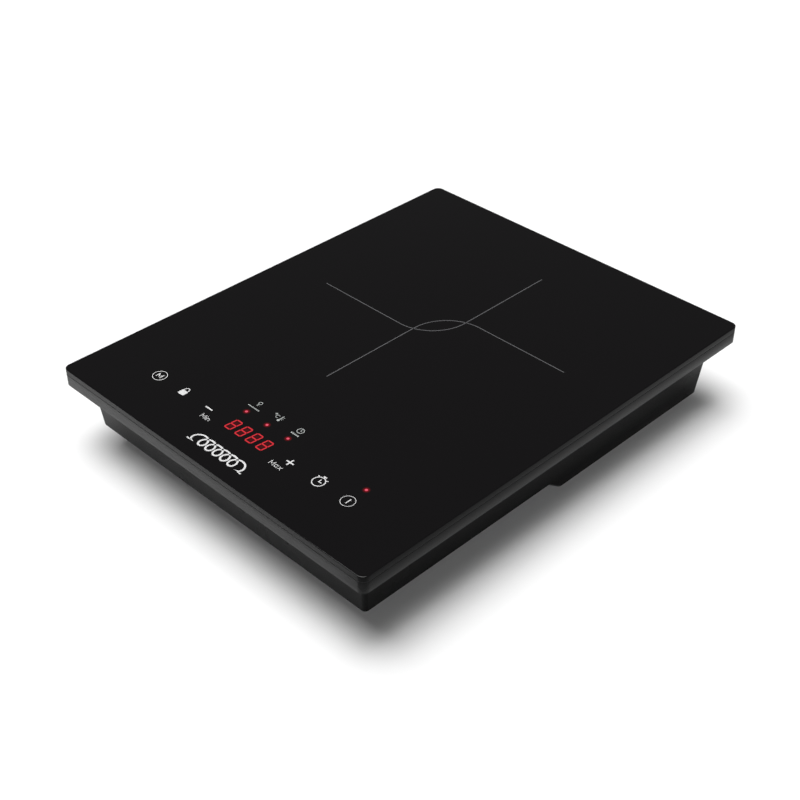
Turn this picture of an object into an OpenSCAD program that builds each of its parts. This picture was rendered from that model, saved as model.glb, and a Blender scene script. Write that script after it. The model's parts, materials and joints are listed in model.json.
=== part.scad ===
// Portable induction cooktop: one cooking zone under a glass plate, touch controls along the front edge.
// Origin: centre of the footprint on the standing surface. X to the user's right, Y to the back, Z up.

/* [Overall] */
// Width of the glass and of the rim under it
body_w = 280; // [270:1:360]
// Depth of the glass and of the rim under it
body_d = 350; // [340:1:440]
// Height from the top of the glass to the underside of the front half of the tray
front_depth = 46; // [44:0.5:60]
// How much deeper the rear half of the tray is
step_drop = 9.5; // [6:0.5:20]

/* [Glass] */
// Thickness of the glass plate
glass_t = 4; // [3:0.5:6]
// Corner radius of the glass and of the rim
glass_corner_r = 5; // [3:0.5:12]
// Thickness of the silicone line under the glass
bond_t = 0.3; // [0.2:0.1:0.8]
// Width of the silicone line
bond_w = 6; // [3:0.5:8]

/* [Housings] */
// Height of the rim below the silicone line
rim_h = 8; // [7:0.5:12]
// Wall of the rim
rim_wall = 2.2; // [1.5:0.1:2.6]
// Thickness of the deck that the glass is bonded to
deck_t = 2.5; // [2:0.1:3]
// Wall and floor of the tray
tray_wall = 2.2; // [1.6:0.1:2.6]
// Distance from the rim's outer face to the tray's wall, just under the rim
tray_inset = 11.5; // [10:0.5:16]
// Lean of the tray's walls from the vertical, in degrees
tray_draft = 5.5; // [2:0.5:8]
// Corner radius of the tray
tray_corner_r = 3; // [3:0.5:12]
// Radius of the tray's lower edges
tray_edge_r = 1; // [1:0.25:3]
// Distance from the rear edge to the start of the step between the tray's two floors
step_back = 176; // [170:0.5:185]
// Length along the depth that the step takes to reach the lower floor
step_run = 12; // [8:0.5:16]
// Gap between the tray's flange and the rim's inner face
flange_gap = 0.3; // [0.2:0.1:0.6]

/* [Feet] */
// Radius of a rubber foot
foot_r = 9; // [6:0.5:11]
// Height that a foot stands out of its seat
foot_proud = 3; // [2:0.25:4]
// Depth of the seat that a foot is stuck into
foot_seat = 1; // [0.5:0.25:1.5]
// Distance from the glass edge to a foot's centre
foot_inset = 39.5; // [36:0.5:42]

/* [Cooking zone] */
// Outer radius of the induction coil
coil_r = 88; // [70:1:106]
// Inner radius of the induction coil
coil_bore_r = 26; // [22:0.5:32]
// Thickness of the coil
coil_t = 3.2; // [2.4:0.2:4]
// Centre of the zone to the left of the middle
zone_left = 1.7; // [0:0.1:4]
// Distance from the rear edge to the centre of the zone
zone_back = 142.8; // [140:0.2:160]
// Number of ferrite bars under the coil
bar_count = 8; // [6:1:10]

/* [Fan] */
// Side of the square fan frame
fan_size = 92; // [70:1:94]
// Height of the fan frame
fan_h = 25; // [20:0.5:26]
// Distance from the rear edge to the centre of the fan
fan_back = 77; // [76:0.5:80]
// Distance from the left edge to the centre of the fan
fan_side = 78; // [76:0.5:80]
// Number of fan blades
blade_count = 9; // [5:1:11]
// Radius of the fan shaft
shaft_r = 1.5; // [1:0.1:2]
// Radial running clearance of the fan shaft in its bush
shaft_fit = 0.03; // [0.02:0.01:0.08]

/* [Power board] */
// Width of the power board
board_w = 110; // [108:1:112]
// Depth of the power board
board_d = 106; // [106:1:110]
// Thickness of both circuit boards
board_t = 1.6; // [1:0.1:2]
// Height of the posts that carry the power board
board_post_h = 6; // [4:0.5:7]
// Height of the heatsink above the board
sink_h = 25; // [20:0.5:26]

/* [Controls] */
// Distance from the front edge to the row of touch fields
key_front = 38.7; // [36:0.1:42]
// Distance between neighbouring touch fields
key_pitch = 25; // [23:0.5:26]
// Distance from the middle to the first touch field on either side
key_first = 38; // [34:0.5:40]
// Width of the control board
control_w = 206; // [200:1:210]
// Depth of the control board
control_d = 50; // [46:1:52]

/* [Cord entry] */
// Radius of the bore that the mains cord passes through
cord_bore_r = 3.6; // [3:0.1:4.5]
// Distance from the right edge to the cord entry
cord_side = 48; // [44:1:60]
// Height of the cord entry above the standing surface
cord_z = 30; // [26:0.5:34]

/* [Hidden] */
$fn = 64;
eps = 0.01;
screw_fit = 0.05;               // radial gap of a screw in its pilot hole
screw_pass = 0.2;               // radial gap of a screw in a hole that it passes through
big_head = [3, 2];              // radius and height of a screw's head
small_head = [2.7, 1.8];
vent_w = 3;
vent_pitch = 6;
vent_cut = 30;                  // reach of a vent's cutting block through the wall
foot_x = body_w / 2 - foot_inset;
foot_y = body_d / 2 - foot_inset;
rear_z = foot_proud + 3;        // underside of the rear half of the tray
top_z = rear_z + front_depth + step_drop;
glass_z = top_z - glass_t;
rim_top = glass_z - bond_t;
rim_z = rim_top - rim_h;
deck_z = rim_top - deck_t;
front_z = top_z - front_depth;
flange_top = rim_z + tray_wall;
rear_floor = rear_z + tray_wall;
front_floor = front_z + tray_wall;
step_y = body_d / 2 - step_back;
bond_edge = 0.15;               // from the glass edge to the silicone line

// housing screws
case_screw_r = 1.5;
case_screw_l = 6.5;
case_boss_r = 3.4;
case_inset = (tray_inset + rim_wall) / 2;
screw_boss_r = 3.5;             // bosses for the fan's and the board's screws
foot_seat_gap = 0.1;
case_side_ys = [-body_d / 2 + 55, 0, body_d / 2 - 55];

// cooking zone stack, from the glass down
zone_x = -zone_left;
zone_y = body_d / 2 - zone_back;
mica_t = 0.6;
mica_z = glass_z - mica_t;
coil_z = mica_z - coil_t;
carrier_t = 2.5;
carrier_z = coil_z - carrier_t;
carrier_ring_w = 7;
sensor_cup_drop = 6;            // underside of the carrier to the underside of the sensor's cup
bar_t = 5;
bar_w = 12;
bar_z = carrier_z - bar_t;
bar_fit = 0.1;
bar_rail = 1.5;
hub_r = coil_bore_r + 5;
carrier_r = coil_r + 2;
deck_opening_r = coil_r + 4;
ear_reach = coil_r + 10;
ear_z0 = carrier_z - carrier_t;
ear_out_r = 5;
post_r = 4;
post_screw_r = 1.4;
post_screw_l = 9;
carrier_posts = [for (a = [0:90:270]) [zone_x + ear_reach * cos(a), zone_y + ear_reach * sin(a)]];
sensor_r = 6.5;
sensor_cap_t = 4;
sensor_stem_r = 3.1;
sensor_cup_r = 8;
sensor_cup_wall = 1.8;
sensor_cup_floor = 1.5;
spring_r = 4.6;
spring_wire_r = 0.45;
spring_turns = 5;

// fan
fan_x = -body_w / 2 + fan_side;
fan_y = body_d / 2 - fan_back;
fan_boss_h = 2;
fan_z = rear_floor + fan_boss_h;
fan_wall = 1.5;
fan_flange_t = 3.5;
fan_corner_r = 4;
fan_bore_r = fan_size / 2 - fan_wall;
fan_hole_at = fan_size / 2 - 4.75;
fan_hole_r = 2.15;
fan_screw_r = 1.5;
hub_out_r = 17.5;
hub_wall = 1.5;
cup_t = 2.5;
tube_r = 4.2;
bush_r = 3;
blade_tip_gap = 1.2;
blade_t = 1.4;
blade_lean = 42;
rotor_z = fan_z + 6.5;
rotor_top = fan_z + fan_h - 1.5;
rotor_boss_r = 3.6;
rotor_boss_h = 3.5;
bearing_tube_h = 17;
strut_w = 3.5;
shaft_low = fan_z + 1.6;
bush_low = fan_z + 2.2;
magnet_h = 10;
fan_board_t = 1.2;
fan_board_r = 14;
magnet_t = 2.6;
stator_r = 12.5;
stator_z = fan_z + 9;
stator_t = 7;

// power board, in the rear right of the tray
board_x = body_w / 2 - 22.5 - board_w;
board_y = body_d / 2 - 24 - board_d;
board_z = rear_floor + board_post_h;
parts_z = board_z + board_t;
board_screw_r = 1.4;
board_hole_in = 4;
sink_w = 44;
sink_d = 76;
sink_base = 4;
sink_side = 5;
fin_t = 1.6;
fin_count = 7;
sink_x = board_x + 6;
sink_y = board_y + 10;
device_x = sink_x + sink_w;
device_leg = 5;
device_ys = [sink_y + 20, sink_y + 52];
device_t = 5;
clip_z = parts_z + device_leg + 12;
clip_r = 1.45;
terminal_xs = [board_x + 68.5, board_x + 82.5];
terminal_y = board_y + 5.5;
terminal_h = 8;
terminal_top = parts_z + terminal_h;
socket_xs = [board_x + 8, board_x + 22.5, board_x + 40];
socket_ws = [8, 12, 8];
socket_d = 6;
socket_h = 7;
socket_top = parts_z + socket_h;
wrap_gap = 0.05;

// where the coil's two leads leave its underside, and how far they are soldered into it
lead_r = 1.3;
lead_tin = 0.1;
lead_straight = 4;              // straight length at each end of a lead
inner_lead = [zone_x + coil_bore_r + 2.5, zone_y + 5];
outer_lead = [zone_x + (coil_r - 9) * cos(13), zone_y + (coil_r - 9) * sin(13)];

// control board, under the printed fields
key_y = -body_d / 2 + key_front;
control_y = -body_d / 2 + 49;
control_z = deck_z - 7.5;
bracket_t = 1.8;
bracket_gap = 0.4;
bracket_w = control_w + 2 * (bracket_gap + bracket_t);
bracket_d = control_d + 2 * (bracket_gap + bracket_t);
bracket_z = control_z - bracket_t;
ledge = 8;
ear_w = 12;
ear_x = bracket_w / 2 + ear_w / 2;
ear_y = 16;
ear_z = control_z + 1.5;
lug_r = 3.6;
control_top = control_z + board_t;
lamp_xs = [-19.3, 0, 19.4, 87.6];
lamp_y = -body_d / 2 + 53;
key_xs = [for (side = [-1, 1], i = [0:2]) side * (key_first + i * key_pitch)];

// cord entry
cord_x = body_w / 2 - cord_side;
gland_r = cord_bore_r + 2.4;
gland_fit = 0.05;
gland_boss_r = gland_r + 5;
gland_wall_gap = 0.5;            // from the top of the tray's wall to the face that the gland seats on
gland_face = body_d / 2 - tray_inset - gland_wall_gap;
gland_boss_l = 6;
gland_nose = 8;
gland_flange_t = 2;
gland_nut_t = 3;

// ---- helpers ----

// rectangular plate with rounded corners
module plate(w, d, t, r) {
    linear_extrude(t) {
        square([w - 2 * r, d], center = true);
        square([w, d - 2 * r], center = true);
        for (x = [-1, 1], y = [-1, 1])
            translate([x * (w / 2 - r), y * (d / 2 - r)]) circle(r);
    }
}

module block(low, size) {
    translate(low) cube(size);
}

module post(x, y, z0, z1, r) {
    translate([x, y, z0]) cylinder(h = z1 - z0, r = r);
}

// pan-head screw with a cross recess, its head's underside at z = 0 and its shank below
module screw(r, l, head_r, head_h) {
    translate([0, 0, -l]) cylinder(h = l, r = r);
    difference() {
        cylinder(h = head_h, r = head_r);
        for (a = [0, 90])
            rotate(a) translate([-head_r * 0.6, -0.35, head_h * 0.45]) cube([head_r * 1.2, 0.7, head_h]);
    }
}

function ring_points(c, u, v, r, sides) =
    [for (k = [0:sides - 1]) c + r * (cos(360 * k / sides) * u + sin(360 * k / sides) * v)];

function unit(v) = v / norm(v);

// point on a smooth curve through points p, with t counted in points
function curve_at(p, t) =
    let (n = len(p) - 1, i = min(floor(t), n - 1), f = t - i,
        a = p[max(i - 1, 0)], b = p[i], c = p[i + 1], d = p[min(i + 2, n)])
    0.5 * (2 * b + (c - a) * f + (2 * a - 5 * b + 4 * c - d) * f * f + (3 * b - a - 3 * c + d) * f * f * f);

// round tube along a list of points
module tube(path, r, sides) {
    n = len(path);
    dirs = [for (i = [0:n - 1]) unit(path[min(i + 1, n - 1)] - path[max(i - 1, 0)])];
    points = [for (i = [0:n - 1])
        let (side = abs(dirs[i][1]) < 0.9 ? [0, 1, 0] : [1, 0, 0], u = unit(cross(dirs[i], side)))
        each ring_points(path[i], u, cross(dirs[i], u), r, sides)];
    walls = [for (i = [0:n - 2], k = [0:sides - 1])
        let (a = i * sides + k, b = i * sides + (k + 1) % sides)
        each [[a, b, b + sides], [a, b + sides, a + sides]]];
    start = [[for (k = [0:sides - 1]) sides - 1 - k]];
    end = [[for (k = [0:sides - 1]) (n - 1) * sides + k]];
    polyhedron(points, concat(start, walls, end));
}

function smooth_path(p, per) = [for (s = [0:(len(p) - 1) * per]) curve_at(p, s / per)];

// coil spring standing on z = 0
function helix(r, h, turns, per) =
    [for (s = [0:turns * per]) let (a = 360 * s / per) [r * cos(a), r * sin(a), h * s / (turns * per)]];

module coil_spring(r, wire_r, h, turns) {
    translate([0, 0, wire_r]) tube(helix(r, h - 2 * wire_r, turns, 10), wire_r, 5);
}

// ---- glass and housings ----

module glass_top() {
    color("#191819") translate([0, 0, glass_z]) plate(body_w, body_d, glass_t, glass_corner_r);
}

module glass_bond() {
    edge = bond_edge;
    color("#0c0c0c") translate([0, 0, rim_top]) difference() {
        plate(body_w - 2 * edge, body_d - 2 * edge, bond_t, glass_corner_r - edge);
        translate([0, 0, -1])
            plate(body_w - 2 * (edge + bond_w), body_d - 2 * (edge + bond_w), bond_t + 2, 1);
    }
}

module case_screw_places() {
    for (side = [-1, 1], y = case_side_ys)
        translate([side * (body_w / 2 - case_inset), y, 0]) children();
    for (side = [-1, 1])
        translate([0, side * (body_d / 2 - case_inset), 0]) children();
}

module bracket_screw_places() {
    for (x = [-ear_x, ear_x], y = [-ear_y, ear_y])
        translate([x, control_y + y, 0]) children();
}

module upper_housing() {
    inner_r = max(glass_corner_r - rim_wall, 0.5);
    color("#444446") difference() {
        union() {
            difference() {
                translate([0, 0, rim_z]) plate(body_w, body_d, rim_h, glass_corner_r);
                translate([0, 0, rim_z - 1])
                    plate(body_w - 2 * rim_wall, body_d - 2 * rim_wall, rim_h - deck_t + 1, inner_r);
            }
            case_screw_places() translate([0, 0, flange_top])
                cylinder(h = deck_z - flange_top + eps, r = case_boss_r);
            bracket_screw_places() translate([0, 0, ear_z + bracket_t])
                cylinder(h = deck_z - ear_z - bracket_t + eps, r = lug_r);
        }
        translate([zone_x, zone_y, deck_z - 1]) cylinder(h = deck_t + 2, r = deck_opening_r);
        translate([0, control_y, deck_z - 1])
            linear_extrude(deck_t + 2) square([control_w - 2, control_d - 2], center = true);
        case_screw_places() translate([0, 0, flange_top - 1])
            cylinder(h = case_screw_l - tray_wall + 1.5, r = case_screw_r + screw_fit);
        bracket_screw_places() translate([0, 0, ear_z + bracket_t - 1])
            cylinder(h = 5.5, r = post_screw_r + screw_fit);
    }
}

function wall_inset(z) = tray_inset + (rim_z - z) * tan(tray_draft);

// the four corners of the tray's outline at height z, smaller by shrink, from y = front to the rear wall
module tray_corners(z, shrink, front) {
    r = tray_corner_r - min(shrink, tray_wall);
    side = wall_inset(z) + shrink + r;
    for (x = [-1, 1], y = [front + r, body_d / 2 - side])
        translate([x * (body_w / 2 - side), y, z]) cylinder(h = eps, r = r, $fn = 32);
}

// front half and full footprint of the tray, down to z_low
module tray_front(z_low, z_high, shrink) {
    r = max(tray_edge_r - shrink, 0.4);
    hull() {
        tray_corners(z_high, shrink, -body_d / 2 + wall_inset(z_high) + shrink);
        for (a = [0, 30, 60, 90])
            tray_corners(z_low + r * (1 - sin(a)), shrink + r * (1 - cos(a)),
                -body_d / 2 + wall_inset(z_low) + shrink + r * (1 - cos(a)));
    }
}

function step_front(z) = step_y + (front_z - z) * step_run / (front_z - rear_z);

// the deeper rear half
module tray_rear(z_low, z_high, shrink, forward) {
    r = max(tray_edge_r - shrink, 0.4);
    hull() {
        tray_corners(z_high, shrink, step_front(z_high) + forward);
        for (a = [0, 30, 60, 90])
            tray_corners(z_low + r * (1 - sin(a)), shrink + r * (1 - cos(a)),
                step_front(z_low) + forward + r * (1 - cos(a)));
    }
}

// underside of the tray at depth y
function floor_under(y) = y < step_y ? front_z : rear_z;

module foot_pedestal(x, y) {
    translate([x, y, foot_proud])
        cylinder(h = floor_under(y) - foot_proud + tray_wall / 2, r1 = foot_r + 2, r2 = foot_r + 3);
}

module fan_hole_places(reach) {
    for (x = [-reach, reach], y = [-reach, reach])
        translate([fan_x + x, fan_y + y, 0]) children();
}

module board_hole_places() {
    for (x = [board_hole_in, board_w - board_hole_in], y = [board_hole_in, board_d - board_hole_in])
        translate([board_x + x, board_y + y, 0]) children();
}

// rear wall and left wall outlets, and the intake grille under the fan
module tray_vents() {
    low = rear_floor + 14;
    height = rim_z - 8 - low;
    rear_x = board_x - 4 * vent_pitch;
    left_y = fan_y - 7 * vent_pitch - 1;
    for (i = [0:13])
        block([rear_x + i * vent_pitch, body_d / 2 - vent_cut, low], [vent_w, vent_cut, height]);
    for (i = [0:14])
        block([-body_w / 2, left_y + i * vent_pitch, low], [vent_cut, vent_w, height]);
    intersection() {
        post(fan_x, fan_y, rear_z - 1, rear_floor + 1, fan_bore_r - 4);
        for (i = [-7:7])
            block([fan_x - fan_size / 2, fan_y + i * vent_pitch - vent_w / 2, rear_z - 1],
                [fan_size, vent_w, tray_wall + 2]);
    }
}

module bottom_housing() {
    flange_in = rim_wall + flange_gap;
    color("#2a2a2c") difference() {
        union() {
            difference() {
                union() {
                    tray_front(front_z, flange_top - eps, 0);
                    tray_rear(rear_z, front_z + 2 * tray_edge_r, 0, 0);
                    translate([0, 0, rim_z])
                        plate(body_w - 2 * flange_in, body_d - 2 * flange_in, tray_wall,
                            max(glass_corner_r - flange_in, 0.5));
                }
                tray_front(front_floor, flange_top + 1, tray_wall);
                tray_rear(rear_floor, front_floor + tray_wall, tray_wall,
                    tray_wall / sin(atan2(front_z - rear_z, step_run)));
            }
            for (x = [-1, 1], y = [-1, 1])
                foot_pedestal(x * foot_x, y * foot_y);
            for (p = carrier_posts)
                post(p[0], p[1], floor_under(p[1]) + tray_wall / 2, ear_z0, post_r);
            fan_hole_places(fan_hole_at) translate([0, 0, rear_floor - eps])
                cylinder(h = fan_boss_h + eps, r = screw_boss_r);
            board_hole_places() translate([0, 0, rear_floor - eps])
                cylinder(h = board_post_h + eps, r = screw_boss_r);
            translate([cord_x, gland_face, cord_z]) rotate([90, 0, 0])
                cylinder(h = gland_boss_l, r = gland_boss_r);
        }
        for (x = [-1, 1], y = [-1, 1])
            post(x * foot_x, y * foot_y, foot_proud - 1, foot_proud + foot_seat, foot_r + foot_seat_gap);
        for (p = carrier_posts)
            post(p[0], p[1], ear_z0 - post_screw_l, ear_z0 + 1, post_screw_r + screw_fit);
        fan_hole_places(fan_hole_at) translate([0, 0, rear_floor - 1])
            cylinder(h = fan_boss_h + 2, r = fan_screw_r + screw_fit);
        board_hole_places() translate([0, 0, rear_floor - 0.5])
            cylinder(h = board_post_h + 1, r = board_screw_r + screw_fit);
        case_screw_places() translate([0, 0, rim_z - 1])
            cylinder(h = tray_wall + 2, r = case_screw_r + screw_fit);
        translate([cord_x, gland_face + 1, cord_z]) rotate([90, 0, 0])
            cylinder(h = gland_boss_l + 2, r = gland_r + gland_fit);
        tray_vents();
    }
}

module housing_screws() {
    color("#8f9296") case_screw_places() translate([0, 0, rim_z])
        mirror([0, 0, 1]) screw(case_screw_r, case_screw_l, big_head[0], big_head[1]);
}

module foot(x, y) {
    color("#1c1c1d") translate([x * foot_x, y * foot_y, 0]) {
        cylinder(h = 1, r1 = foot_r - 1, r2 = foot_r);
        translate([0, 0, 1]) cylinder(h = foot_proud + foot_seat - 1, r = foot_r);
    }
}

module foot_front_left() foot(-1, -1);
module foot_front_right() foot(1, -1);
module foot_rear_left() foot(-1, 1);
module foot_rear_right() foot(1, 1);

// ---- cooking zone ----

module zone() {
    translate([zone_x, zone_y, 0]) children();
}

module mica_sheet() {
    color("#c9bda2") zone() translate([0, 0, mica_z]) difference() {
        cylinder(h = mica_t, r = deck_opening_r - 0.5, $fn = 128);
        translate([0, 0, -1]) cylinder(h = mica_t + 2, r = sensor_r + 1);
    }
}

// one ring for each turn of the flat winding; neighbouring turns press into each other
module coil_winding() {
    turn_pitch = coil_t - 0.1;
    turns = floor((coil_r - coil_bore_r - coil_t) / turn_pitch);
    color("#b5692f") zone() translate([0, 0, coil_z + coil_t / 2]) rotate_extrude($fn = 128)
        for (i = [0:turns])
            translate([coil_r - coil_t / 2 - i * turn_pitch, 0]) circle(coil_t / 2, $fn = 24);
}

module spoke_places() {
    for (i = [0:bar_count - 1]) rotate((i + 0.5) * 360 / bar_count) children();
}

module coil_carrier() {
    rail_out = bar_w / 2 + bar_fit + bar_rail;
    cup_z = carrier_z - sensor_cup_drop;
    color("#d9d4c6") zone() difference() {
        union() {
            translate([0, 0, carrier_z]) difference() {
                cylinder(h = carrier_t, r = carrier_r, $fn = 128);
                translate([0, 0, -1]) cylinder(h = carrier_t + 2, r = carrier_r - carrier_ring_w, $fn = 128);
            }
            translate([0, 0, carrier_z]) cylinder(h = carrier_t, r = hub_r);
            spoke_places() {
                block([sensor_cup_r + 1, -rail_out, carrier_z],
                    [carrier_r - 6 - sensor_cup_r, 2 * rail_out, carrier_t]);
                for (side = [-1, 1])
                    block([hub_r + 1, side * (rail_out - bar_rail / 2) - bar_rail / 2, bar_z],
                        [carrier_r - hub_r - carrier_ring_w, bar_rail, bar_t + eps]);
            }
            translate([0, 0, cup_z])
                cylinder(h = carrier_z - cup_z + eps, r = sensor_cup_r + sensor_cup_wall);
            for (a = [0:90:270]) rotate(a) {
                block([carrier_r - 6, -ear_out_r, ear_z0],
                    [ear_reach - carrier_r + 6, 2 * ear_out_r, carrier_t]);
                block([carrier_r - 6, -ear_out_r, ear_z0], [4, 2 * ear_out_r, carrier_t + eps]);
                translate([ear_reach, 0, ear_z0]) cylinder(h = carrier_t, r = ear_out_r);
            }
        }
        translate([0, 0, cup_z + sensor_cup_floor]) cylinder(h = 20, r = sensor_cup_r);
        translate([0, 0, cup_z - 1]) cylinder(h = 10, r = sensor_stem_r + 0.2);
        for (p = [inner_lead, outer_lead])
            post(p[0] - zone_x, p[1] - zone_y, ear_z0 - 6, coil_z + 1, lead_r + 0.4);
        for (a = [0:90:270]) rotate(a)
            translate([ear_reach, 0, ear_z0 - 1]) cylinder(h = carrier_t + 2, r = post_screw_r + screw_pass);
    }
}

module ferrite_bars() {
    inner = hub_r + 2;
    outer = coil_r - 4;
    color("#2f3033") zone() spoke_places()
        block([inner, -bar_w / 2, bar_z], [outer - inner, bar_w, bar_t]);
}

module carrier_screws() {
    color("#8f9296") for (p = carrier_posts)
        translate([p[0], p[1], ear_z0 + carrier_t])
            screw(post_screw_r, carrier_t + post_screw_l - 1, big_head[0], big_head[1]);
}

module coil_leads() {
    first = terminal_xs[0];
    second = terminal_xs[1];
    outer_x = outer_lead[0];
    outer_y = outer_lead[1];
    outer_route = [[outer_x, outer_y, coil_z + lead_tin], [outer_x, outer_y, coil_z - lead_straight],
        [outer_x, outer_y, coil_z - 2 * lead_straight],
        [(outer_x + first) / 2, (outer_y + terminal_y) / 2 + 1, (coil_z + terminal_top) / 2],
        [first, terminal_y, terminal_top + 6], [first, terminal_y, terminal_top + 3],
        [first, terminal_y, terminal_top]];
    inner_x = inner_lead[0];
    inner_y = inner_lead[1];
    inner_route = [[inner_x, inner_y, coil_z + lead_tin], [inner_x, inner_y, carrier_z],
        [inner_x, inner_y, carrier_z - lead_straight],
        [inner_x + 5, inner_y + 1, carrier_z - 7.4], [inner_x + 34, inner_y + 4, carrier_z - 7.8],
        [second - 8, terminal_y - 5, carrier_z - 8.6], [second, terminal_y - 2, carrier_z - 15],
        [second, terminal_y, terminal_top + 6], [second, terminal_y, terminal_top + 3],
        [second, terminal_y, terminal_top]];
    color("#8c4a2a") {
        tube(smooth_path(outer_route, 3), lead_r, 8);
        tube(smooth_path(inner_route, 3), lead_r, 8);
    }
}

module pan_sensor() {
    stem_l = 10;
    color("#e7e2d6") zone() {
        translate([0, 0, glass_z - sensor_cap_t]) cylinder(h = sensor_cap_t, r = sensor_r);
        translate([0, 0, glass_z - sensor_cap_t - stem_l]) cylinder(h = stem_l + eps, r = sensor_stem_r);
    }
}

module sensor_spring() {
    low = carrier_z - sensor_cup_drop + sensor_cup_floor;
    color("#b9bcc0") zone() translate([0, 0, low])
        coil_spring(spring_r, spring_wire_r, glass_z - sensor_cap_t - low, spring_turns);
}

// ---- fan ----

module fan() {
    translate([fan_x, fan_y, 0]) children();
}

module fan_frame() {
    color("#232324") fan() difference() {
        union() {
            difference() {
                union() {
                    for (z = [fan_z, fan_z + fan_h - fan_flange_t])
                        translate([0, 0, z]) plate(fan_size, fan_size, fan_flange_t, fan_corner_r);
                    post(0, 0, fan_z + 1, fan_z + fan_h - 1, fan_bore_r + fan_wall * 0.8);
                }
                post(0, 0, fan_z - 1, fan_z + fan_h + 1, fan_bore_r);
            }
            for (a = [0:90:270]) rotate(a + 20)
                block([hub_out_r - 2, -strut_w / 2, fan_z + 0.3],
                    [fan_bore_r - hub_out_r + 2.6, strut_w, cup_t - 0.6]);
            translate([0, 0, fan_z]) cylinder(h = cup_t, r = hub_out_r);
            translate([0, 0, fan_z]) cylinder(h = bearing_tube_h, r = tube_r);
        }
        post(0, 0, fan_z + 1.2, fan_z + 20, bush_r);
        for (x = [-1, 1], y = [-1, 1])
            post(x * fan_hole_at, y * fan_hole_at, fan_z - 1, fan_z + fan_h + 1, fan_hole_r);
    }
}

module fan_impeller() {
    span = rotor_top - rotor_z;
    height = span - 2;
    chord = (height - blade_t * sin(blade_lean)) / cos(blade_lean);
    inner_r = hub_out_r - hub_wall;
    color("#2b2b2d") fan() {
        difference() {
            union() {
                translate([0, 0, rotor_z]) cylinder(h = span, r = hub_out_r);
                intersection() {
                    translate([0, 0, rotor_z]) cylinder(h = span, r = fan_bore_r - blade_tip_gap);
                    for (i = [0:blade_count - 1]) rotate(i * 360 / blade_count)
                        translate([inner_r - 2 + 20, 0, rotor_z + height / 2 + 1]) rotate([blade_lean, 0, 0])
                            cube([40, blade_t, chord], center = true);
                }
            }
            translate([0, 0, rotor_z - 1]) cylinder(h = span - hub_wall + 1, r = inner_r);
        }
        translate([0, 0, rotor_top - hub_wall - rotor_boss_h]) difference() {
            cylinder(h = rotor_boss_h + eps, r = rotor_boss_r);
            translate([0, 0, -1]) cylinder(h = rotor_boss_h + 1, r = shaft_r);
        }
    }
}

module fan_magnet() {
    outer_r = hub_out_r - hub_wall;
    color("#3a3a3c") fan() translate([0, 0, rotor_z + 1]) difference() {
        cylinder(h = magnet_h, r = outer_r);
        translate([0, 0, -1]) cylinder(h = magnet_h + 2, r = outer_r - magnet_t);
    }
}

module fan_shaft() {
    color("#c4c7cb") fan() translate([0, 0, shaft_low])
        cylinder(h = rotor_top - hub_wall - shaft_low, r = shaft_r);
}

module fan_bush() {
    height = fan_z + bearing_tube_h - bush_low;
    color("#b08d4c") fan() translate([0, 0, bush_low]) difference() {
        cylinder(h = height, r = bush_r);
        translate([0, 0, -1]) cylinder(h = height + 2, r = shaft_r + shaft_fit);
    }
}

module fan_stator() {
    color("#7d8085") fan() translate([0, 0, stator_z]) difference() {
        union() {
            cylinder(h = stator_t, r = tube_r + 2.5);
            for (a = [0, 90]) rotate(a)
                block([-stator_r + 1, -2, 0], [2 * stator_r - 2, 4, stator_t]);
            intersection() {
                difference() {
                    cylinder(h = stator_t, r = stator_r);
                    translate([0, 0, -1]) cylinder(h = stator_t + 2, r = stator_r - 1.6);
                }
                for (a = [0, 90]) rotate(a)
                    block([-stator_r, -6.5, 0], [2 * stator_r, 13, stator_t]);
            }
        }
        translate([0, 0, -1]) cylinder(h = stator_t + 2, r = tube_r);
    }
}

module fan_windings() {
    color("#b5692f") fan() translate([0, 0, stator_z - 1.4])
        for (a = [0:90:270]) rotate(a) difference() {
            block([tube_r + 2.7, -3.6, 0], [3, 7.2, stator_t + 2.8]);
            block([tube_r, -2, 1.4], [10, 4, stator_t]);
        }
}

module fan_board() {
    color("#2f6b45") fan() translate([0, 0, fan_z + cup_t]) difference() {
        cylinder(h = fan_board_t, r = fan_board_r);
        translate([0, 0, -1]) cylinder(h = fan_board_t + 2, r = tube_r);
    }
}

module fan_screws() {
    color("#8f9296") fan_hole_places(fan_hole_at) translate([0, 0, fan_z + fan_h])
        screw(fan_screw_r, fan_h + fan_boss_h + 0.7, 3.4, 2);
}

module fan_lead() {
    start_x = fan_x + fan_size / 2;
    route = [[start_x, fan_y - 20, fan_z + fan_flange_t / 2], [start_x + 4, fan_y - 21, fan_z + 2.4],
        [start_x + 10, fan_y - 34, fan_z + 10], [socket_xs[0] - 8, board_y + 5, parts_z + 12],
        [socket_xs[0] + 2, board_y + 4, parts_z + 12], [socket_xs[0] + 4, board_y + 4, socket_top],
        [socket_xs[0] + 4, board_y + 4, parts_z + 2]];
    color("#7a1f1c") tube(smooth_path(route, 4), 1.1, 8);
}

module air_guide() {
    wall = 1.6;
    y0 = fan_y - fan_size / 2 - 3;
    h = carrier_z - 10.5 - rear_floor;      // passes under the coil's leads
    route = [[fan_x - fan_size / 2 - 4, y0], [fan_x + fan_size / 2 + 2, y0], [board_x - 4, board_y - 4],
        [board_x + 12, board_y - 4]];
    color("#1f1f21") translate([0, 0, rear_floor]) {
        linear_extrude(h) polygon(strip(route, wall));
        linear_extrude(wall) polygon(strip([route[0] + [2, -2], route[1] + [-2, -2]], 6));
    }
}

// ---- power board ----

// moves to a place on the power board's top face
module on_board(x, y) {
    translate([board_x + x, board_y + y, parts_z]) children();
}

module power_board() {
    color("#2f6b45") difference() {
        block([board_x, board_y, board_z], [board_w, board_d, board_t]);
        board_hole_places() translate([0, 0, board_z - 1])
            cylinder(h = board_t + 2, r = board_screw_r + screw_pass);
    }
}

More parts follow.
